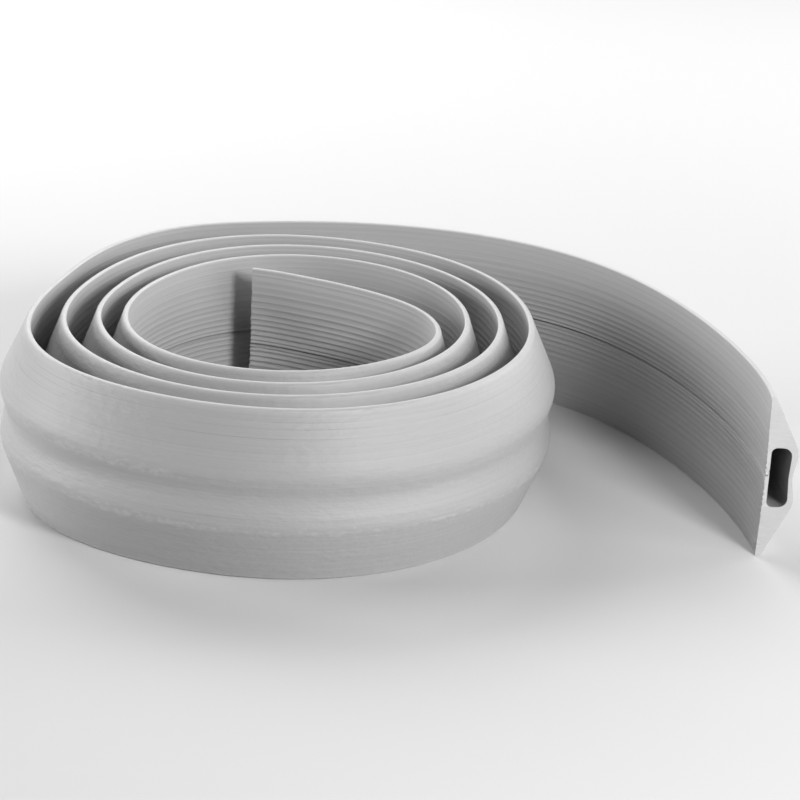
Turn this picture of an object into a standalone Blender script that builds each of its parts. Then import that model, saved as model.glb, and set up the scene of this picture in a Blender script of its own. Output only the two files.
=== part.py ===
# Floor cable cover: one extruded strip of soft grey PVC, wound as a loose coil that stands on its edge.
# The flat base of the strip faces the middle of the coil and its crowned top faces outwards.
# A channel for the cables runs through the whole length, and a slanting slit in the base opens into it.
# The long outer tail leaves the back of the coil and sweeps round the +X side, to a cut end that faces -Y.
# The cut is a little out of square, so the lower edge ends short of the upper one. Units are metres, +Z is up.

import math

import bmesh
import bpy
import numpy as np

# Section of the strip, as extruded. The outer face rises from each edge to a crest, and dips between the two.
# CROWN_POINTS are the places across the dip, from the middle of the strip, where its outline has a point.
STRIP_WIDTH = 0.083
STRIP_THICKNESS = 0.0164
EDGE_THICKNESS = 0.0023
BASE_HOLLOW = 0.0005
CREST_OFFSET = 0.012
SHOULDER_OFFSET = 0.0167
DIP_DEPTH = 0.0006
CROWN_POINTS = (0.008, 0.004, 0.0)

# Channel for the cables, and the slit that it is filled through. Its corners take up CORNER_SHARE of its
# height at most, where the strip is pressed flat. The slit runs SLIT_SLANT to one side on its way in.
CHANNEL_WIDTH = 0.031
BASE_WALL = 0.0026
ROOF_WALL = 0.0029
FLOOR_CORNER = 0.0022
ROOF_CORNER = 0.0034
CORNER_SHARE = 0.9
SLIT_WIDTH = 0.0005
SLIT_SLANT = 0.004

# The hollow strip flattens: at a bend of FLATTEN_RADIUS its crown sinks by BEND_SINK and its dip
# deepens by DIP_SINK, and the turns that another turn lies around are pressed down by PRESSED_SINK.
# That begins where the loose inner end meets the second turn, and ends where the tail leaves the coil.
FLATTEN_RADIUS = 0.100
BEND_SINK = 0.0024
DIP_SINK = 0.0022
PRESSED_SINK = 0.0020
FREE_UNTIL = -30
PRESSED_FROM = 30
PRESSED_UNTIL = 960
FREE_FROM = 1050
BEND_SPAN = 0.060

# Run of the coil: (turn in degrees, radius to the base of the strip), seen from above and turning clockwise.
# The first stretch is the loose inner end, the last is the tail.
# The sections are COIL_STEP degrees apart, about TAIL_STEP along the tail.
COIL_RUN = (
    (-100, 0.0680), (-80, 0.0570), (-60, 0.0525), (-30, 0.0550), (0, 0.0660), (30, 0.0765),
    (60, 0.0810), (90, 0.0865), (135, 0.0875), (180, 0.0775), (225, 0.0770), (270, 0.0895),
    (315, 0.0910), (360, 0.0860), (405, 0.0910), (450, 0.1030), (480, 0.1050), (510, 0.0985),
    (525, 0.0940), (540, 0.0905), (570, 0.0880), (630, 0.1060), (690, 0.1050), (735, 0.1025),
    (780, 0.1120), (825, 0.1220), (870, 0.1160), (930, 0.1040), (990, 0.1235), (1010, 0.1245),
    (1035, 0.1235), (1080, 0.1170), (1125, 0.1245), (1170, 0.1385), (1200, 0.1390), (1230, 0.1360),
    (1260, 0.1225), (1290, 0.1185), (1320, 0.1355), (1335, 0.1435), (1350, 0.1470), (1380, 0.1630),
    (1410, 0.1835), (1440, 0.2020), (1455, 0.2205), (1469, 0.2455),
)
TAIL_START = 1350
COIL_STEP = 15.0
TAIL_STEP = 7.5
RUN_SAMPLES = 3000

# How far the lower edge of the tail ends short of the upper one
END_SKEW = 0.010

# Look of the material
PVC_GREY = 0.44
PVC_ROUGHNESS = 0.55
SHARP_ANGLE = 30


def natural_spline(knots, values, where):
    """Smooth curve through the knots, with a continuous second derivative."""
    gaps = np.diff(knots)
    slopes = np.diff(values) / gaps
    count = len(knots)
    matrix = np.eye(count)
    right = np.zeros(count)
    for i in range(1, count - 1):
        matrix[i, i - 1:i + 2] = gaps[i - 1], 2 * (gaps[i - 1] + gaps[i]), gaps[i]
        right[i] = 6 * (slopes[i] - slopes[i - 1])
    bends = np.linalg.solve(matrix, right)
    cell = np.clip(np.searchsorted(knots, where, side="right") - 1, 0, count - 2)
    before = where - knots[cell]
    after = knots[cell + 1] - where
    gap = gaps[cell]
    cubic = (bends[cell] * after ** 3 + bends[cell + 1] * before ** 3) / (6 * gap)
    low = (values[cell] / gap - bends[cell] * gap / 6) * after
    high = (values[cell + 1] / gap - bends[cell + 1] * gap / 6) * before
    return cubic + low + high


def run_points(turns):
    """Places in plan on the base of the strip at these turns of the coil."""
    knots, radii = (np.array(column, float) for column in zip(*COIL_RUN))
    radius = natural_spline(knots, radii, turns)
    angle = np.radians(-turns)
    return np.stack([radius * np.cos(angle), radius * np.sin(angle)], axis=1)


def run_stations():
    """Turns at which the section is placed, closer together along the tail, where the radius is large."""
    first = COIL_RUN[0][0]
    last = COIL_RUN[-1][0]
    coil = np.arange(first, TAIL_START, COIL_STEP)
    tail = np.linspace(TAIL_START, last, round((last - TAIL_START) / TAIL_STEP) + 1)
    return np.concatenate([coil, tail])


def run_frames(turns):
    """Place, direction and outward normal at each station, and how tightly the strip bends there."""
    dense = np.linspace(COIL_RUN[0][0], COIL_RUN[-1][0], RUN_SAMPLES)
    points = run_points(dense)
    length = np.concatenate([[0], np.cumsum(np.linalg.norm(np.diff(points, axis=0), axis=1))])
    direction = np.gradient(points, length, axis=0)
    heading = np.unwrap(np.arctan2(direction[:, 1], direction[:, 0]))
    place = np.interp(turns, dense, length)
    start = np.clip(place - BEND_SPAN, 0, length[-1])
    stop = np.clip(place + BEND_SPAN, 0, length[-1])
    bend = np.abs(np.interp(stop, length, heading) - np.interp(start, length, heading)) / (stop - start)
    aim = np.interp(turns, dense, heading)
    direction = np.stack([np.cos(aim), np.sin(aim)], axis=1)
    normal = np.stack([-np.sin(aim), np.cos(aim)], axis=1)
    return run_points(turns), direction, normal, bend


def pressed_share(turns):
    """1 where another turn lies around the strip, falling smoothly to 0 where the strip is free."""
    rising = np.clip((turns - FREE_UNTIL) / (PRESSED_FROM - FREE_UNTIL), 0, 1)
    falling = np.clip((FREE_FROM - turns) / (FREE_FROM - PRESSED_UNTIL), 0, 1)
    share = np.minimum(rising, falling)
    return share * share * (3 - 2 * share)


def base_height(across):
    """Slightly hollow base, seen as a height over the line between the two edges."""
    return BASE_HOLLOW * (1 - (2 * across / STRIP_WIDTH) ** 2)


def crown_height(across, sink, dip):
    """Outer face: straight flanks, two rounded crests and the dip between them."""
    crest = STRIP_THICKNESS - sink
    flank = STRIP_WIDTH / 2 - SHOULDER_OFFSET
    round_off = SHOULDER_OFFSET - CREST_OFFSET
    slope = (crest - EDGE_THICKNESS) / (flank + round_off / 2)
    away = abs(across)
    if away >= SHOULDER_OFFSET:
        return EDGE_THICKNESS + slope * (STRIP_WIDTH / 2 - away)
    if away >= CREST_OFFSET:
        return crest - slope / (2 * round_off) * (away - CREST_OFFSET) ** 2
    part = away / CREST_OFFSET
    return crest - dip * (1 - part * part * (3 - 2 * part))


def outer_outline(sink, dip):
    """Outer points from the upper lip of the slit, over the crown, to its lower lip."""
    half = STRIP_WIDTH / 2
    upper = [SHOULDER_OFFSET, (SHOULDER_OFFSET + CREST_OFFSET) / 2, CREST_OFFSET, *CROWN_POINTS]
    crown = upper + [-across for across in reversed(upper[:-1])]
    outline = [(SLIT_WIDTH / 2, base_height(0)), (half / 2, base_height(half / 2)), (half, 0.0)]
    outline.append((half, EDGE_THICKNESS))
    outline += [(across, crown_height(across, sink, dip)) for across in crown]
    outline.append((-half, EDGE_THICKNESS))
    outline += [(-half, 0.0), (-half / 2, base_height(half / 2)), (-SLIT_WIDTH / 2, base_height(0))]
    return outline


def corner_arc(across, height, radius, first_degrees):
    """Quarter circle of a channel corner, three points, turning clockwise."""
    arc = []
    for step in range(3):
        angle = math.radians(first_degrees - 45 * step)
        arc.append((across + radius * math.cos(angle), height + radius * math.sin(angle)))
    return arc


def channel_outline(sink, dip):
    """Channel wall from the lower lip of the slit round to its upper lip."""
    half = CHANNEL_WIDTH / 2
    floor = base_height(0) + BASE_WALL
    ends = STRIP_THICKNESS - sink - DIP_DEPTH - ROOF_WALL
    roof = STRIP_THICKNESS - sink - dip - ROOF_WALL
    squeeze = min(1.0, CORNER_SHARE * (ends - floor) / (FLOOR_CORNER + ROOF_CORNER))
    low = FLOOR_CORNER * squeeze
    high = ROOF_CORNER * squeeze
    outline = [(SLIT_SLANT - SLIT_WIDTH / 2, floor)]
    outline += corner_arc(-half + low, floor + low, low, 270)
    outline += corner_arc(-half + high, ends - high, high, 180)
    outline.append((0.0, roof))
    outline += corner_arc(half - high, ends - high, high, 90)
    outline += corner_arc(half - low, floor + low, low, 0)
    outline.append((SLIT_SLANT + SLIT_WIDTH / 2, floor))
    return outline


def strip_rings():
    """Section of the strip at each station, as points in space."""
    turns = run_stations()
    places, directions, normals, bends = run_frames(turns)
    rings = []
    for place, normal, bend, pressed in zip(places, normals, bends, pressed_share(turns)):
        sink = BEND_SINK * bend * FLATTEN_RADIUS + PRESSED_SINK * pressed
        dip = DIP_DEPTH + DIP_SINK * bend * FLATTEN_RADIUS
        ring = []
        for across, height in outer_outline(sink, dip) + channel_outline(sink, dip):
            point = place + normal * height
            ring.append([point[0], point[1], across + STRIP_WIDTH / 2])
        rings.append(ring)
    tail_end = directions[-1]
    for point in rings[-1]:
        short = END_SKEW * (1 - point[2] / STRIP_WIDTH)
        point[0] -= tail_end[0] * short
        point[1] -= tail_end[1] * short
    return np.array(rings)


def cap_triangles():
    """Triangles of a cut end, as corners of a ring, between the outer outline and the channel.

    Both run round the middle of the channel, so the one that lags behind in bearing takes the next step.
    """
    outer = outer_outline(0, DIP_DEPTH)
    channel = channel_outline(0, DIP_DEPTH)
    middle = (base_height(0) + BASE_WALL + STRIP_THICKNESS - ROOF_WALL) / 2
    bearings = [math.degrees(math.atan2(across, middle - height)) % 360 for across, height in outer + channel]
    last_outer = len(outer) - 1
    lower_lip = len(outer)
    bearings[lower_lip] += 360
    outside = 0
    inside = len(bearings) - 1
    triangles = []
    while outside < last_outer or inside > lower_lip:
        ahead_outside = bearings[outside + 1] if outside < last_outer else math.inf
        ahead_inside = bearings[inside - 1] if inside > lower_lip else math.inf
        if ahead_outside < ahead_inside:
            triangles.append((outside, outside + 1, inside))
            outside += 1
        else:
            triangles.append((outside, inside - 1, inside))
            inside -= 1
    return triangles


def strip_mesh():
    """Skin the sections into one closed body, centred over its own outline and standing on z = 0."""
    rings = strip_rings()
    corners = rings.reshape(-1, 3)
    middle = (corners.min(axis=0) + corners.max(axis=0)) / 2
    middle[2] = 0.0
    mesh = bmesh.new()
    levels = [[mesh.verts.new(point - middle) for point in ring] for ring in rings]
    for ring, following in zip(levels[:-1], levels[1:]):
        for i in range(len(ring)):
            j = (i + 1) % len(ring)
            mesh.faces.new((ring[i], ring[j], following[j], following[i]))
    bmesh.ops.triangulate(mesh, faces=mesh.faces[:])
    for a, b, c in cap_triangles():
        mesh.faces.new((levels[0][c], levels[0][b], levels[0][a]))
        mesh.faces.new((levels[-1][a], levels[-1][b], levels[-1][c]))
    bmesh.ops.recalc_face_normals(mesh, faces=mesh.faces[:])
    return mesh


def soft_pvc():
    """Matt light grey soft PVC, the one material of the strip."""
    material = bpy.data.materials.new("soft_grey_pvc")
    material.use_nodes = True
    shader = material.node_tree.nodes["Principled BSDF"]
    shader.inputs["Base Color"].default_value = (PVC_GREY, PVC_GREY, PVC_GREY, 1.0)
    shader.inputs["Roughness"].default_value = PVC_ROUGHNESS
    shader.inputs["Metallic"].default_value = 0.0
    return material


def cable_cover():
    """The whole strip, as one object."""
    data = bpy.data.meshes.new("cable_cover")
    mesh = strip_mesh()
    mesh.to_mesh(data)
    mesh.free()
    data.materials.append(soft_pvc())
    data.shade_smooth()
    data.set_sharp_from_angle(angle=math.radians(SHARP_ANGLE))
    strip = bpy.data.objects.new("cable_cover", data)
    bpy.context.scene.collection.objects.link(strip)


for leftover in list(bpy.data.objects):
    bpy.data.objects.remove(leftover)
cable_cover()
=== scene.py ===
import math
import random

import bmesh
import bpy
import numpy as np
from mathutils import Matrix, Vector
from mathutils.geometry import delaunay_2d_cdt


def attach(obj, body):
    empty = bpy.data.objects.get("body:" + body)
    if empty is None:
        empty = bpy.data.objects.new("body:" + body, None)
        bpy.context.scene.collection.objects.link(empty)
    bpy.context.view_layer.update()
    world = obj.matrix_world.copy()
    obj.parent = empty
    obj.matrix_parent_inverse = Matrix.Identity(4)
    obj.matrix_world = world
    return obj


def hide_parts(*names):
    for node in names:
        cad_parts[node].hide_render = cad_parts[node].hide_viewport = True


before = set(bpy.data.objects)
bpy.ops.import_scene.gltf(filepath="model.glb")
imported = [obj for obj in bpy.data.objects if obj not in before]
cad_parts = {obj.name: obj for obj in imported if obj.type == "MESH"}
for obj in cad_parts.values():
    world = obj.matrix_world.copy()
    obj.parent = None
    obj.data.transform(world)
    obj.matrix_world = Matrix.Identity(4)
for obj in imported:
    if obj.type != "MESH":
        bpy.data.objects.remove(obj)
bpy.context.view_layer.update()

# Camera
# A long lens looks a little down on the coil from in front, turned towards the tail. The tilt about the
# line of sight is the one that the strip's upright edges have in the picture. Turns are in degrees.
VIEW_TURN = 7.76
VIEW_DOWN = 19.64
VIEW_TILT = 3.1
VIEW_DISTANCE = 1.838
VIEW_TARGET = Vector((0.0097, -0.0167, 0.0415))
LENS_MM = 169.2

turned = Matrix.Rotation(math.radians(-VIEW_TURN), 4, "Z")
lowered = Matrix.Rotation(math.radians(90 - VIEW_DOWN), 4, "X")
tilted = Matrix.Rotation(math.radians(VIEW_TILT), 4, "Z")
camera = bpy.data.objects.new("camera", bpy.data.cameras.new("camera"))
camera.data.lens = LENS_MM
camera.matrix_world = (Matrix.Translation(VIEW_TARGET) @ turned @ lowered @ tilted
                       @ Matrix.Translation((0, 0, VIEW_DISTANCE)))
bpy.context.scene.collection.objects.link(camera)
bpy.context.scene.camera = camera


# Run of the strip
# The strip leaves the extruder straight and is wound up by hand, so its turns are not quite round: they
# bulge where the hand let go. Its run is the solid's own, taken on the ribbed base and seen from above, with
# turns in degrees and radii in metres.
COIL_RUN = (
    (-100, 0.0680), (-80, 0.0570), (-60, 0.0525), (-30, 0.0550), (0, 0.0660), (30, 0.0765),
    (60, 0.0810), (90, 0.0865), (135, 0.0875), (180, 0.0775), (225, 0.0770), (270, 0.0895),
    (315, 0.0910), (360, 0.0860), (405, 0.0910), (450, 0.1030), (480, 0.1050), (510, 0.0985),
    (525, 0.0940), (540, 0.0905), (570, 0.0880), (630, 0.1060), (690, 0.1050), (735, 0.1025),
    (780, 0.1120), (825, 0.1220), (870, 0.1160), (930, 0.1040), (990, 0.1235), (1010, 0.1245),
    (1035, 0.1235), (1080, 0.1170), (1125, 0.1245), (1170, 0.1385), (1200, 0.1390), (1230, 0.1360),
    (1260, 0.1225), (1290, 0.1185), (1320, 0.1355), (1335, 0.1435), (1350, 0.1470), (1380, 0.1630),
    (1410, 0.1835), (1440, 0.2020), (1455, 0.2205), (1469, 0.2455),
)
STATION_SPACING = 0.0054
BEND_SPAN = 0.060
RUN_SAMPLES = 6000


def natural_spline(knots, values, where):
    """Smooth curve through the knots, with a continuous second derivative."""
    gaps = np.diff(knots)
    slopes = np.diff(values) / gaps
    count = len(knots)
    matrix = np.eye(count)
    right = np.zeros(count)
    for i in range(1, count - 1):
        matrix[i, i - 1:i + 2] = gaps[i - 1], 2 * (gaps[i - 1] + gaps[i]), gaps[i]
        right[i] = 6 * (slopes[i] - slopes[i - 1])
    bends = np.linalg.solve(matrix, right)
    cell = np.clip(np.searchsorted(knots, where, side="right") - 1, 0, count - 2)
    before = where - knots[cell]
    after = knots[cell + 1] - where
    gap = gaps[cell]
    cubic = (bends[cell] * after ** 3 + bends[cell + 1] * before ** 3) / (6 * gap)
    low = (values[cell] / gap - bends[cell] * gap / 6) * after
    high = (values[cell + 1] / gap - bends[cell + 1] * gap / 6) * before
    return cubic + low + high


def run_points(turns):
    """Places in plan on the base of the strip at these turns of the coil."""
    knots, radii = (np.array(column, float) for column in zip(*COIL_RUN))
    radius = natural_spline(knots, radii, turns)
    angle = np.radians(-turns)
    return np.stack([radius * np.cos(angle), radius * np.sin(angle)], axis=1)


dense_turn = np.linspace(COIL_RUN[0][0], COIL_RUN[-1][0], RUN_SAMPLES)
dense_points = run_points(dense_turn)
dense_length = np.concatenate([[0], np.cumsum(np.linalg.norm(np.diff(dense_points, axis=0), axis=1))])
run_length = dense_length[-1]
steps = np.gradient(dense_points, dense_length, axis=0)
dense_heading = np.unwrap(np.arctan2(steps[:, 1], steps[:, 0]))

# The section is swept through stations along the run. The bend at each is its mean over 60 mm to either
# side, because the strip flattens over a stretch and not at one point.
station_length = np.linspace(0, run_length, round(run_length / STATION_SPACING) + 1)
station_turn = np.interp(station_length, dense_length, dense_turn)
station_place = run_points(station_turn)
heading = np.interp(station_length, dense_length, dense_heading)
station_direction = np.stack([np.cos(heading), np.sin(heading)], axis=1)
station_normal = np.stack([-np.sin(heading), np.cos(heading)], axis=1)
span_start = np.clip(station_length - BEND_SPAN, 0, run_length)
span_stop = np.clip(station_length + BEND_SPAN, 0, run_length)
start_heading = np.interp(span_start, dense_length, dense_heading)
stop_heading = np.interp(span_stop, dense_length, dense_heading)
station_bend = np.abs(stop_heading - start_heading) / (span_stop - span_start)


# Crowned outer face
# The walked-on side of the cover: two low crests with a shallow dip between them, over long flanks that run
# down to thin blunt edges. The coiled strip flattens, and the turns that lie under another one are pressed
# down as well. Sizes are in metres, and where the strip is pressed or free is given in degrees of turn.
STRIP_WIDTH = 0.083
HALF = STRIP_WIDTH / 2
STRIP_THICKNESS = 0.0164
EDGE_THICKNESS = 0.0023
OUTER_ROUND = 0.0022
OUTER_ROUND_STEPS = 6
FLANK_PLACES = (0.006, 0.013, 0.019)
SHOULDER_OFFSET = 0.0167
CREST_OFFSET = 0.012
CREST_MARGIN = 0.0006
CREST_POINTS = 6
HOLLOW_MARGIN = 0.0025
HOLLOW_POINTS = 5
DIP_DEPTH = 0.0006
FLATTEN_RADIUS = 0.100
BEND_SINK = 0.0029
LOWER_SETTLE = 0.0009
DIP_SINK = 0.0027
PRESSED_SINK = 0.0020
FREE_UNTIL = -30
PRESSED_FROM = 30
PRESSED_UNTIL = 960
FREE_FROM = 1050


def eased(share):
    """A share from 0 to 1 that starts and stops gently."""
    return share * share * (3 - 2 * share)


def pressed_share(turn):
    """1 where another turn lies around the strip, falling smoothly to 0 where the strip is free."""
    rising = (turn - FREE_UNTIL) / (PRESSED_FROM - FREE_UNTIL)
    falling = (FREE_FROM - turn) / (FREE_FROM - PRESSED_UNTIL)
    return eased(min(max(min(rising, falling), 0.0), 1.0))


def crown_height(across, sink, settle, dip):
    """Outer face: straight flanks, two rounded crests and the dip between them."""
    lower_share = min(max((1 - across / CREST_OFFSET) / 2, 0.0), 1.0)
    crest = STRIP_THICKNESS - sink - settle * eased(lower_share)
    flank = HALF - SHOULDER_OFFSET
    round_off = SHOULDER_OFFSET - CREST_OFFSET
    slope = (crest - EDGE_THICKNESS) / (flank + round_off / 2)
    away = abs(across)
    if away >= SHOULDER_OFFSET:
        return EDGE_THICKNESS + slope * (HALF - away)
    if away >= CREST_OFFSET:
        return crest - slope / (2 * round_off) * (away - CREST_OFFSET) ** 2
    return crest - dip * (1 - eased(away / CREST_OFFSET))


def rounded_corner(before, corner, after, radius, steps):
    """Points of the arc that rounds a corner of an outline, from the side before it to the side after it."""
    corner = Vector(corner)
    back = (Vector(before) - corner).normalized()
    ahead = (Vector(after) - corner).normalized()
    half_angle = back.angle(ahead) / 2
    middle = corner + (back + ahead).normalized() * (radius / math.sin(half_angle))
    first = corner + back * (radius / math.tan(half_angle)) - middle
    last = corner + ahead * (radius / math.tan(half_angle)) - middle
    points = [middle + first.slerp(last, step / steps) * radius for step in range(steps + 1)]
    return [(point.x, point.y) for point in points]


def crown_outline(sink, settle, dip):
    """From the upper edge over the crests to the lower edge, with the outer corners of both edges rounded."""
    flank = [HALF - from_edge for from_edge in FLANK_PLACES]
    crest = list(np.linspace(SHOULDER_OFFSET + CREST_MARGIN, CREST_OFFSET - CREST_MARGIN, CREST_POINTS))
    hollow = list(np.linspace(CREST_OFFSET - HOLLOW_MARGIN, 0, HOLLOW_POINTS))
    upper = flank + crest + hollow
    places = upper + [-across for across in reversed(upper[:-1])]
    side = [(across, crown_height(across, sink, settle, dip)) for across in places]
    upper_corner = (HALF, EDGE_THICKNESS)
    lower_corner = (-HALF, EDGE_THICKNESS)
    upper_edge = rounded_corner((HALF, 0), upper_corner, side[0], OUTER_ROUND, OUTER_ROUND_STEPS)
    lower_edge = rounded_corner(side[-1], lower_corner, (-HALF, 0), OUTER_ROUND, OUTER_ROUND_STEPS)
    return upper_edge + side + lower_edge


# Ribbed base
# The side that lies on the floor. The extrusion die leaves shallow flutes along it, with sharp ridges
# between them that keep it from slipping. The slit that lets cables into the channel opens 1 mm to one side
# of the middle, and runs inwards at a slant.
BASE_HOLLOW = 0.0005
BASE_ROUND = 0.0004
BASE_ROUND_STEPS = 3
RIDGES = (
    0.00278, 0.00548, 0.00825, 0.0111, 0.0138, 0.0167, 0.0199,
    0.0234, 0.0271, 0.0307, 0.0342, 0.0371, 0.0396,
)
INNER_FLUTES = 6
INNER_FLUTE_PARTS = 4
OUTER_FLUTE_PARTS = 3
DEEP_FLUTE = 0.00060
SHALLOW_FLUTE = 0.00010
FLUTES_FADED = 9
DEPTH_WEAR = (0.7, 1.3)
RIDGE_WEAR = (-0.0001, 0.0001)
FRESH_FLUTES = 1.6
RUBBED_FLUTES = 0.78
SLIT_HALF_WIDTH = 0.00032
SLIT_SLANT = 0.004
LIP_WIDTH = 0.0007
LIP_DEPTH = 0.0015
BASE_WALL = 0.0021
PATTERN_SHIFT = 0.0010

die_wear = random.Random(7)


def base_height(across):
    """Slightly hollow base, seen as a height over the line between the two edges."""
    return BASE_HOLLOW * (1 - (across / HALF) ** 2)


def die_flutes():
    """Flutes of one half of the worn die, from the slit outwards: where each ends and how deep it is."""
    flutes = []
    for number, ridge in enumerate(RIDGES):
        fade = min(1.0, number / FLUTES_FADED) ** 2
        depth = (DEEP_FLUTE + (SHALLOW_FLUTE - DEEP_FLUTE) * fade) * die_wear.uniform(*DEPTH_WEAR)
        flutes.append((ridge + die_wear.uniform(*RIDGE_WEAR), depth))
    return flutes


def half_base(flutes, sharpness):
    """Base outline from the slit's lip to the last ridge, and which of its points are ridges."""
    lip = SLIT_HALF_WIDTH
    outline = [(lip, base_height(0) + LIP_DEPTH), (lip + LIP_WIDTH / 3, base_height(0) + LIP_DEPTH / 3)]
    start = lip + LIP_WIDTH
    outline.append((start, base_height(0)))
    ridges = []
    for number, (end, depth) in enumerate(flutes):
        parts = INNER_FLUTE_PARTS if number < INNER_FLUTES else OUTER_FLUTE_PARTS
        for part in range(1, parts + 1):
            share = part / parts
            place = start + (end - start) * share
            outline.append((place, base_height(place) + sharpness * depth * 4 * share * (1 - share)))
        ridges.append(len(outline) - 1)
        start = end
    return outline, ridges


upper_flutes = die_flutes()
lower_flutes = die_flutes()
edge_corner = rounded_corner((0, 0), (HALF, 0), (HALF, EDGE_THICKNESS), BASE_ROUND, BASE_ROUND_STEPS)


def base_outlines(turn):
    """Upper and lower half of the base at this turn, and which of their points are ridges."""
    # The flutes are as the die left them on the inner end, and rubbed down along the rest of the strip.
    sharpness = np.interp(turn, (FREE_UNTIL, PRESSED_FROM), (FRESH_FLUTES, RUBBED_FLUTES))
    upper, upper_ridges = half_base(upper_flutes, sharpness)
    upper = [(across + PATTERN_SHIFT, height) for across, height in upper] + edge_corner
    lower, lower_ridges = half_base(lower_flutes, sharpness)
    lower = [(across - PATTERN_SHIFT, height) for across, height in lower] + edge_corner
    lower = [(-across, height) for across, height in reversed(lower)]
    return upper, lower, upper_ridges, [len(lower) - 1 - ridge for ridge in lower_ridges]


# Channel
# The room for the cables, left by the die's core. Its walls are as extruded, and where the strip is bent its
# roof sags with the dip, though not as far.
CHANNEL_WIDTH = 0.031
ROOF_WALL = 0.0024
ROOF_FOLLOWS = 0.6
FLOOR_CORNER = 0.0028
ROOF_CORNER = 0.0042
CORNER_STEPS = 5
CORNER_SHARE = 0.9


def corner_arc(across, height, radius, first_degrees):
    """Quarter circle of a channel corner, turning clockwise."""
    arc = []
    for step in range(CORNER_STEPS + 1):
        angle = math.radians(first_degrees - 90 * step / CORNER_STEPS)
        arc.append((across + radius * math.cos(angle), height + radius * math.sin(angle)))
    return arc


def channel_outline(sink, dip):
    """Channel wall from the lower lip of the slit round to its upper lip."""
    half = CHANNEL_WIDTH / 2
    floor = base_height(0) + BASE_WALL
    ends = STRIP_THICKNESS - sink - DIP_DEPTH - ROOF_WALL
    roof = ends - ROOF_FOLLOWS * (dip - DIP_DEPTH)
    squeeze = min(1.0, CORNER_SHARE * (ends - floor) / (FLOOR_CORNER + ROOF_CORNER))
    low = FLOOR_CORNER * squeeze
    high = ROOF_CORNER * squeeze
    middle = (ends + roof) / 2
    outline = [(SLIT_SLANT - SLIT_HALF_WIDTH, floor)]
    outline += corner_arc(-half + low, floor + low, low, 270)
    outline += corner_arc(-half + high, ends - high, high, 180)
    outline += [(-half / 3, middle), (0.0, roof), (half / 3, middle)]
    outline += corner_arc(half - high, ends - high, high, 90)
    outline += corner_arc(half - low, floor + low, low, 0)
    outline.append((SLIT_SLANT + SLIT_HALF_WIDTH, floor))
    return outline


# Soft PVC
# Plasticised PVC in light grey, pushed warm through a die and drawn through cold water. It is matt all over,
# streaked along its length by the die, and pale along its edges: rubbed by handling, with a painted highlight
# on the top edge, and painted highlights along the crests. A pattern has its sizes in metres: along the
# strip, across it and through it.
PVC_IOR = 1.53
# Die streaks run on for about 250 mm. The real ones lie 0.1 to 0.3 mm apart, which is too fine to show here,
# so they are drawn 0.9 mm apart.
DIE_STREAKS = (0.25, 0.0009, 0.0009)
# A knife drawn through soft PVC leaves a drag mark about every 0.6 mm.
KNIFE_DRAG = (0.010, 0.0006, 0.006)
STREAK_DETAIL = 3.0
# Orange peel of a cooled extrusion: soft waves 3 to 5 mm apart, seen where the light grazes the surface.
ORANGE_PEEL = (0.0050, 0.0030, 0.0030)
PEEL_DETAIL = 2.0
# Scratches are hairlines 0.24 mm wide, which come and go in stretches of about 60 mm.
SCRATCH = "#8E8E8E"
SCRATCH_HALF_WIDTH = 0.00012
SCRATCH_STRETCHES = (0.06, 0.003, 0.003)
SCRATCH_LEVELS = (0.40, 0.65)
# Painted highlight: pale flecks of 2 to 3 mm along the crests, where grazing light catches small bumps at the
# edge of their shade, in stretches of about 100 mm.
PAINTED_CREST_HIGHLIGHT = "#C2C2C2"
HIGHLIGHT_REACH = 0.0045
HIGHLIGHT_STRETCHES = (0.10, 0.05, 0.05)
HIGHLIGHT_STRETCH_LEVELS = (0.42, 0.60)
HIGHLIGHT_STRETCH_WEIGHT = 0.38
HIGHLIGHT_FLECKS = (0.0034, 0.0022, 0.0022)
HIGHLIGHT_FLECK_LEVELS = (0.72, 0.95)
HIGHLIGHT_STRENGTH = 0.3
FLECK_DETAIL = 4.0
STRETCH_DETAIL = 1.0
# Scuffs are up to 2.2 mm long and 0.8 mm wide, and specks of dirt up to 0.9 mm. Their radii are in cells.
SCUFF = "#B6B6B6"
SCUFF_CELL = (0.040, 0.014, 0.014)
SCUFF_RADIUS = 0.028
SCUFF_SHARE = 0.2
SPECK = "#626262"
SPECK_CELL = (0.021, 0.017, 0.017)
SPECK_RADIUS = 0.022
SPECK_SHARE = 0.12
# Corners between base and edges go pale: rubbed by hands and by the floor, and on the top edge also a painted
# highlight of the light from above.
EDGE_WEAR_AND_HIGHLIGHT = "#DCDCDC"
PALE_EDGE_FALLOFF = 2.0


def linear(hex_code):
    """Linear colour of an sRGB hex code."""
    channels = [int(hex_code[i:i + 2], 16) / 255 for i in (1, 3, 5)]
    return (*[c / 12.92 if c <= 0.04045 else ((c + 0.055) / 1.055) ** 2.4 for c in channels], 1.0)


def add_node(tree, kind, settings, inputs):
    """Add a node with these settings, and with values or links on its inputs."""
    made = tree.nodes.new(kind)
    for name, value in settings.items():
        setattr(made, name, value)
    for name, value in inputs.items():
        if isinstance(value, bpy.types.NodeSocket):
            tree.links.new(value, made.inputs[name])
        else:
            made.inputs[name].default_value = value
    return made.outputs


def waviness(tree, place, size, detail):
    """Uneven surface with waves of this size."""
    scaled = add_node(tree, "ShaderNodeVectorMath", {"operation": "DIVIDE"}, {0: place, 1: size})["Vector"]
    noise = {"Vector": scaled, "Scale": 1.0, "Detail": detail}
    return add_node(tree, "ShaderNodeTexNoise", {}, noise)["Fac"]


def in_stretches(tree, place, size, levels, top):
    """Mask that comes and goes in stretches of this size, rising to the top between two levels of noise."""
    wave = waviness(tree, place, size, STRETCH_DETAIL)
    fade = {"Value": wave, "From Min": levels[0], "From Max": levels[1], "To Max": top}
    return add_node(tree, "ShaderNodeMapRange", {}, fade)["Result"]


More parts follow.
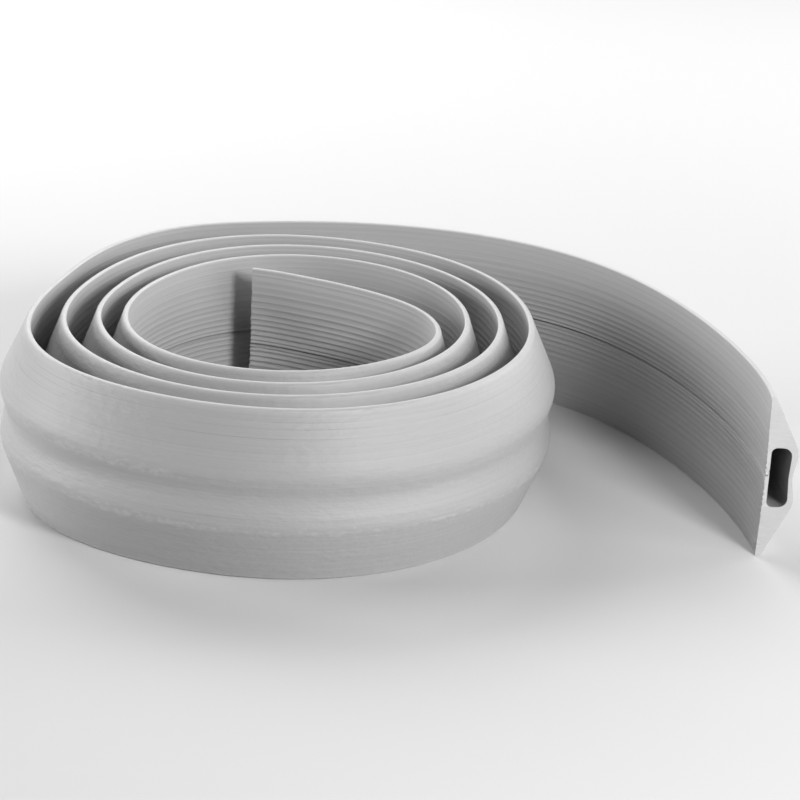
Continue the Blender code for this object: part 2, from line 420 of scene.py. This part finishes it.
def scattered_marks(tree, place, cell, radius, share):
    """Mask of small marks: one of this radius, in cells, in this share of the cells."""
    scaled = add_node(tree, "ShaderNodeVectorMath", {"operation": "DIVIDE"}, {0: place, 1: cell})["Vector"]
    cells = add_node(tree, "ShaderNodeTexVoronoi", {}, {"Vector": scaled, "Scale": 1.0})
    near = add_node(tree, "ShaderNodeMath", {"operation": "LESS_THAN"}, {0: cells["Distance"], 1: radius})
    drawn = add_node(tree, "ShaderNodeSeparateColor", {}, {"Color": cells["Color"]})["Red"]
    chosen = add_node(tree, "ShaderNodeMath", {"operation": "LESS_THAN"}, {0: drawn, 1: share})
    return add_node(tree, "ShaderNodeMath", {"operation": "MULTIPLY"}, {0: near[0], 1: chosen[0]})[0]


def worn_and_highlit_edges(tree, place, reach):
    """Mask of wear and painted highlight: 1 on the corners between base and edges, fading out at this
    distance from them.
    """
    folded = add_node(tree, "ShaderNodeVectorMath", {"operation": "ABSOLUTE"}, {0: place})["Vector"]
    without_length = {0: folded, 1: (0, 1, 1)}
    section = add_node(tree, "ShaderNodeVectorMath", {"operation": "MULTIPLY"}, without_length)["Vector"]
    to_corner = {0: section, 1: (0, HALF, 0)}
    away = add_node(tree, "ShaderNodeVectorMath", {"operation": "DISTANCE"}, to_corner)["Value"]
    closeness = {"Value": away, "From Min": reach, "From Max": 0.0}
    near = add_node(tree, "ShaderNodeMapRange", {}, closeness)["Result"]
    return add_node(tree, "ShaderNodeMath", {"operation": "POWER"}, {0: near, 1: PALE_EDGE_FALLOFF})[0]


def crest_highlight_mask(tree, place, across, line):
    """Ragged mask of painted highlight: pale flecks along a line, in stretches, where light grazes the crest.
    """
    offset = add_node(tree, "ShaderNodeMath", {"operation": "SUBTRACT"}, {0: across, 1: line})[0]
    away = add_node(tree, "ShaderNodeMath", {"operation": "ABSOLUTE"}, {0: offset})[0]
    closeness = {"Value": away, "From Min": HIGHLIGHT_REACH, "From Max": 0.0}
    near = add_node(tree, "ShaderNodeMapRange", {}, closeness)["Result"]
    glinting_stretches = in_stretches(tree, place, HIGHLIGHT_STRETCHES, HIGHLIGHT_STRETCH_LEVELS, HIGHLIGHT_STRETCH_WEIGHT)
    flecks = waviness(tree, place, HIGHLIGHT_FLECKS, FLECK_DETAIL)
    summed = {0: near, 1: glinting_stretches, 2: flecks}
    level = add_node(tree, "ShaderNodeMath", {"operation": "MULTIPLY_ADD"}, summed)[0]
    low, high = HIGHLIGHT_FLECK_LEVELS
    fade = {"Value": level, "From Min": low, "From Max": high, "To Max": HIGHLIGHT_STRENGTH}
    return add_node(tree, "ShaderNodeMapRange", {}, fade)["Result"]


def pvc(name, greys, roughness, streaks, streak_depth, peel_depth, pale_edge_reach, scratches=(), crest_highlights=()):
    """Soft PVC of two greys, with streaks, orange peel, edges pale from wear and painted highlight, scratches
    and painted highlights along the crests, all in metres.
    """
    material = bpy.data.materials.new(name)
    material.use_nodes = True
    tree = material.node_tree
    shader = tree.nodes["Principled BSDF"]
    place = add_node(tree, "ShaderNodeAttribute", {"attribute_name": "place_in_strip"}, {})["Vector"]
    across = add_node(tree, "ShaderNodeSeparateXYZ", {}, {"Vector": place})["Y"]
    streak = waviness(tree, place, streaks, STREAK_DETAIL)
    peel = waviness(tree, place, ORANGE_PEEL, PEEL_DETAIL)
    relief = add_node(tree, "ShaderNodeMath", {"operation": "MULTIPLY"}, {0: peel, 1: peel_depth})[0]
    summed = {0: streak, 1: streak_depth, 2: relief}
    relief = add_node(tree, "ShaderNodeMath", {"operation": "MULTIPLY_ADD"}, summed)[0]
    bump = add_node(tree, "ShaderNodeBump", {}, {"Height": relief, "Distance": 1.0})["Normal"]

    # Each layer is a mask and its colour, from the bare PVC up.
    layers = [(streak, greys[1])]
    scratched = in_stretches(tree, place, SCRATCH_STRETCHES, SCRATCH_LEVELS, 1.0)
    for scratch in scratches:
        near = {0: across, 1: scratch, 2: SCRATCH_HALF_WIDTH}
        line = add_node(tree, "ShaderNodeMath", {"operation": "COMPARE"}, near)[0]
        mask = add_node(tree, "ShaderNodeMath", {"operation": "MULTIPLY"}, {0: line, 1: scratched})[0]
        layers.append((mask, SCRATCH))
    # Pale flecks along the crests are painted highlight, where light grazes them.
    for line in crest_highlights:
        layers.append((crest_highlight_mask(tree, place, across, line), PAINTED_CREST_HIGHLIGHT))
    layers.append((scattered_marks(tree, place, SCUFF_CELL, SCUFF_RADIUS, SCUFF_SHARE), SCUFF))
    layers.append((scattered_marks(tree, place, SPECK_CELL, SPECK_RADIUS, SPECK_SHARE), SPECK))
    # Edges go pale from wear, and on the top edge with a painted highlight.
    layers.append((worn_and_highlit_edges(tree, place, pale_edge_reach), EDGE_WEAR_AND_HIGHLIGHT))

    # A Mix node takes its two colours on inputs 6 and 7, and gives the mixed one on output 2.
    colour = linear(greys[0])
    for mask, tone in layers:
        mixed = {0: mask, 6: colour, 7: linear(tone)}
        colour = add_node(tree, "ShaderNodeMix", {"data_type": "RGBA"}, mixed)[2]
    tree.links.new(colour, shader.inputs["Base Color"])
    tree.links.new(bump, shader.inputs["Normal"])
    shader.inputs["Roughness"].default_value = roughness
    shader.inputs["IOR"].default_value = PVC_IOR
    return material


# The outer face left the die's polished lips: the smoothest side, with fine lines where the lips are nicked,
# one along the lower crest and three on the upper flank. Pale flecks along both crests are painted highlight.
smooth_pvc = pvc("smooth_extruded_pvc", ("#989898", "#A6A6A6"), roughness=0.55, streaks=DIE_STREAKS,
                 streak_depth=0.00006, peel_depth=0.00040, pale_edge_reach=0.0048,
                 scratches=(-0.0085, 0.0291, 0.0332, 0.0361), crest_highlights=(0.0095, -0.0145))
# The base ran over the die's toothed side: a dry, chalky face, streaked light and dark between its ridges.
ribbed_pvc = pvc("ribbed_extruded_pvc", ("#A2A2A2", "#BCBCBC"), roughness=0.60, streaks=DIE_STREAKS,
                 streak_depth=0.00016, peel_depth=0.00006, pale_edge_reach=0.0015)
# The channel was shaped by the die's core and touched by nothing since: even and unworn. Its darker greys are
# painted shade of the channel's inside.
channel_pvc_painted_shade = pvc("channel_wall_pvc_painted_shade", ("#8A8A8A", "#929292"), roughness=0.60, streaks=DIE_STREAKS,
                  streak_depth=0.00004, peel_depth=0.00004, pale_edge_reach=0.0001)
# A fresh cut shows the paler inside of the stock, roughened by the blade.
cut_pvc = pvc("knife_cut_pvc", ("#B2B2B2", "#C2C2C2"), roughness=0.65, streaks=KNIFE_DRAG,
              streak_depth=0.00005, peel_depth=0.00004, pale_edge_reach=0.0008)


# The strip
# One length of the extrusion, with no joint from end to end, standing on its lower edge. A knife cut it
# square at the inner end and 10 mm out of square at the tail, and left a small burr on the base side of both
# cuts.
END_SKEW = 0.010
SKEW_LENGTH = 0.037
BURR = 0.0005
INSIDE_OUTLINE = 1
FILL_TOLERANCE = 1e-7
CREASE_DEGREES = 30
OUTER_FACE, BASE_FACE, CHANNEL_FACE, CUT_FACE = range(4)

knife_slip = random.Random(3)
rings = []
place_in_strip = []
for number, length in enumerate(station_length):
    bend = station_bend[number] * FLATTEN_RADIUS
    sink = BEND_SINK * bend + PRESSED_SINK * pressed_share(station_turn[number])
    dip = DIP_DEPTH + DIP_SINK * bend
    crown = crown_outline(sink, LOWER_SETTLE * bend, dip)
    channel = channel_outline(sink, dip)
    upper_base, lower_base, upper_ridges, lower_ridges = base_outlines(station_turn[number])
    outline = np.array(upper_base + crown + lower_base + channel)
    ring = station_place[number] + station_normal[number] * outline[:, 1:]
    tail_share = max(0.0, 1 - (run_length - length) / SKEW_LENGTH)
    short = END_SKEW * tail_share * (0.5 - outline[:, :1] / STRIP_WIDTH)
    ring = ring - station_direction[number] * short
    if number in (0, len(station_length) - 1):
        ragged = [knife_slip.uniform(0, BURR) if height < BASE_WALL / 2 else 0.0 for height in outline[:, 1]]
        outward = -1 if number == 0 else 1
        ring = ring + station_direction[number] * outward * np.array(ragged)[:, None]
    rings.append(np.column_stack([ring, outline[:, 0] + HALF]))
    place_in_strip.append(np.column_stack([np.full(len(outline), length), outline]))

# The frame's origin is the middle of the coil's outline from above, on the floor.
points = np.array(rings)
ring_count, corners = points.shape[:2]
flat = points.reshape(-1, 3)
middle = (flat.min(axis=0) + flat.max(axis=0)) / 2
middle[2] = 0.0

outline_kinds = [BASE_FACE] * (len(upper_base) - 1) + [OUTER_FACE] * (len(crown) + 1)
outline_kinds += [BASE_FACE] * (len(lower_base) - 1) + [CHANNEL_FACE] * (len(channel) + 1)
faces = []
kinds = []
for i in range(ring_count - 1):
    for j in range(corners):
        k = (j + 1) % corners
        faces.append((i * corners + j, i * corners + k, (i + 1) * corners + k, (i + 1) * corners + j))
        kinds.append(outline_kinds[j])
outline_edges = [(j, (j + 1) % corners) for j in range(corners)]
for ring_number in (0, ring_count - 1):
    section = [Vector(point) for point in place_in_strip[ring_number][:, 1:]]
    filled = delaunay_2d_cdt(section, outline_edges, [], INSIDE_OUTLINE, FILL_TOLERANCE)
    triangles, sources = filled[2:4]
    for triangle in triangles:
        faces.append(tuple(ring_number * corners + sources[j][0] for j in triangle))
        kinds.append(CUT_FACE)

strip_data = bpy.data.meshes.new("cable_cover_strip")
strip_data.from_pydata((flat - middle).tolist(), [], faces)
strip_data.polygons.foreach_set("material_index", kinds)
for material in (smooth_pvc, ribbed_pvc, channel_pvc_painted_shade, cut_pvc):
    strip_data.materials.append(material)
mesh = bmesh.new()
mesh.from_mesh(strip_data)
bmesh.ops.recalc_face_normals(mesh, faces=mesh.faces[:])
mesh.to_mesh(strip_data)
mesh.free()
unrolled = strip_data.attributes.new("place_in_strip", "FLOAT_VECTOR", "POINT")
unrolled.data.foreach_set("vector", np.array(place_in_strip).reshape(-1))

# The ridges are shaded sharp all along the strip, and other edges where they turn by more than the crease.
strip_data.shade_smooth()
strip_data.set_sharp_from_angle(angle=math.radians(CREASE_DEGREES))
ridge_corners = upper_ridges + [len(upper_base) + len(crown) + ridge for ridge in lower_ridges]
edge_points = np.zeros(2 * len(strip_data.edges), int)
strip_data.edges.foreach_get("vertices", edge_points)
edge_corners = edge_points.reshape(-1, 2) % corners
along_ridge = (edge_corners[:, 0] == edge_corners[:, 1]) & np.isin(edge_corners[:, 0], ridge_corners)
sharp = np.zeros(len(strip_data.edges), bool)
strip_data.attributes["sharp_edge"].data.foreach_get("value", sharp)
strip_data.attributes["sharp_edge"].data.foreach_set("value", sharp | along_ridge)
strip = bpy.data.objects.new("cable_cover_strip", strip_data)
bpy.context.scene.collection.objects.link(strip)
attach(strip, "root")
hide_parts("cable_cover")


# Floor and lights
# A white table in a studio. One small softbox on the right gives the shadows their edge, and large ones all
# round fill in. From 1.5 m out the table goes on as a lit white surround, so that it is pale to the horizon
# from every side.
FLOOR_RADIUS = 1.5
SURROUND_RADIUS = 30.0
RIM_SIDES = 96
LAMP_HEIGHT = 0.04
LAMP_DISTANCE = 1.6

rims = []
for radius in (FLOOR_RADIUS, SURROUND_RADIUS):
    for side in range(RIM_SIDES):
        angle = 2 * math.pi * side / RIM_SIDES
        rims.append((radius * math.cos(angle), radius * math.sin(angle), 0.0))
floor_data = bpy.data.meshes.new("floor")
floor_data.from_pydata(rims[:RIM_SIDES], [], [tuple(range(RIM_SIDES))])
floor = bpy.data.objects.new("floor", floor_data)
# Painted board: a matt white that takes soft shadows and shows no gloss.
table_top = bpy.data.materials.new("white_table_top")
table_top.use_nodes = True
table_shader = table_top.node_tree.nodes["Principled BSDF"]
table_shader.inputs["Base Color"].default_value = linear("#D3D3D3")
table_shader.inputs["Roughness"].default_value = 0.9
floor_data.materials.append(table_top)
bpy.context.scene.collection.objects.link(floor)

panels = []
for side in range(RIM_SIDES):
    following = (side + 1) % RIM_SIDES
    panels.append((side, RIM_SIDES + side, RIM_SIDES + following, following))
surround_data = bpy.data.meshes.new("lit_surround")
surround_data.from_pydata(rims, [], panels)
surround = bpy.data.objects.new("lit_surround", surround_data)
# White sheet lit from below: the same white from every side, with no shadow and no gloss.
lit_panel = bpy.data.materials.new("lit_white_panel")
lit_panel.use_nodes = True
panel_shader = lit_panel.node_tree.nodes["Principled BSDF"]
panel_shader.inputs["Base Color"].default_value = linear("#000000")
panel_shader.inputs["Specular IOR Level"].default_value = 0.0
panel_shader.inputs["Emission Color"].default_value = linear("#FFFFFF")
panel_shader.inputs["Emission Strength"].default_value = 1.0
lit_panel.cycles.emission_sampling = "NONE"
surround_data.materials.append(lit_panel)
bpy.context.scene.collection.objects.link(surround)

studio = bpy.data.worlds.new("studio")
studio.use_nodes = True
studio.node_tree.nodes["Background"].inputs["Strength"].default_value = 0.0
bpy.context.scene.world = studio
bpy.context.scene.view_settings.view_transform = "Standard"

# Each lamp: degrees to the right of the camera's side, degrees up, side of its square in metres, and watts.
for name, turn, height, size, power in (
    ("key", 33.5, 26, 0.34, 17.5),
    ("right", 60, 10, 0.9, 12.5),
    ("right_behind", 120, 10, 0.9, 15),
    ("behind", 150, 35, 0.9, 8),
    ("left_behind", -150, 35, 0.9, 18.5),
    ("left", -90, 10, 0.9, 26),
):
    softbox = bpy.data.lights.new(name, "AREA")
    softbox.shape = "SQUARE"
    softbox.size = size
    softbox.energy = power
    lamp = bpy.data.objects.new(name, softbox)
    around = Matrix.Rotation(math.radians(turn - VIEW_TURN), 4, "Z")
    raised = Matrix.Rotation(math.radians(90 - height), 4, "X")
    lamp.matrix_world = (Matrix.Translation((0, 0, LAMP_HEIGHT)) @ around @ raised
                         @ Matrix.Translation((0, 0, LAMP_DISTANCE)))
    bpy.context.scene.collection.objects.link(lamp)
